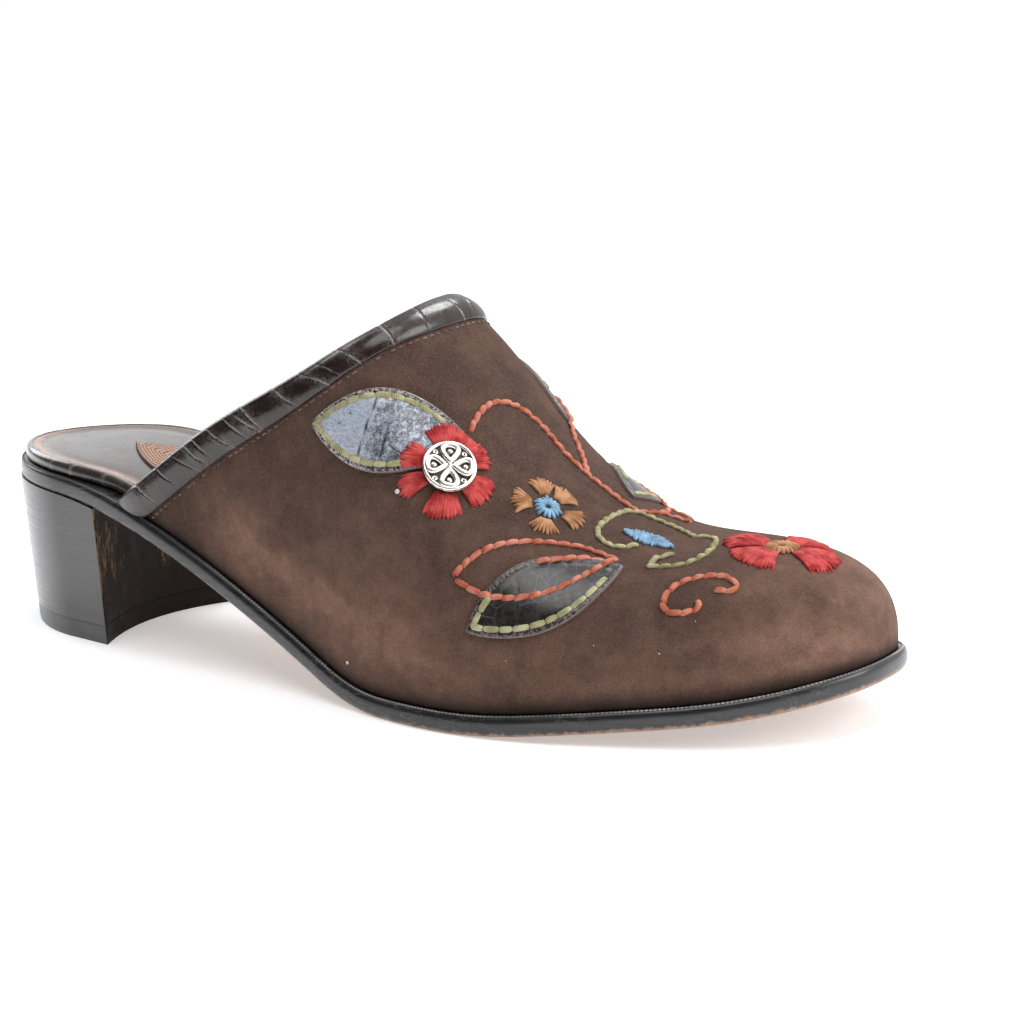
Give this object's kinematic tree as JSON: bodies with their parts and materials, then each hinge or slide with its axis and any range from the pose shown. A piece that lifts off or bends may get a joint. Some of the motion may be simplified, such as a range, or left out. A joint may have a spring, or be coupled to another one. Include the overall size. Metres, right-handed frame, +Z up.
{
  "type": "mule",
  "caption": "Right-foot suede mule with a round toe, open back, bound collar, leaf-shaped leather patches, a metal button and a stacked block heel.",
  "frame": {"origin": "middle of the sole's footprint, on the ground", "axes": "+X towards the toe, +Y towards the inner side of the foot, +Z up; the shoe stands on its heel lift and the tread under the ball"},
  "size_m": [0.26, 0.0852, 0.0936],
  "materials": {
    "outsole_leather": "dark grey leather sole, dyed edge",
    "heel_leather": "polished stacked leather, near black",
    "top_lift_rubber": "black rubber",
    "insole_leather": "dark brown grained leather with burnished rim",
    "sock_leather": "tan leather",
    "upper_suede": "dark brown suede",
    "binding_leather": "espresso leather with a gloss",
    "leaf_leather": "dark silver-grey crackled leather",
    "button_metal": "silver-toned metal, darkened in its hollows"
  },
  "bodies": {
    "root": {"outsole": "outsole_leather", "heel_block": "heel_leather", "top_lift": "top_lift_rubber", "insole": "insole_leather", "sock_patch": "sock_leather", "upper": "upper_suede", "collar_binding": "binding_leather", "leaf_patch_outer_rear": "leaf_leather", "leaf_patch_outer_front": "leaf_leather", "leaf_patch_inner_rear": "leaf_leather", "leaf_patch_inner_front": "leaf_leather", "button": "button_metal"}
  },
  "joints": []
}
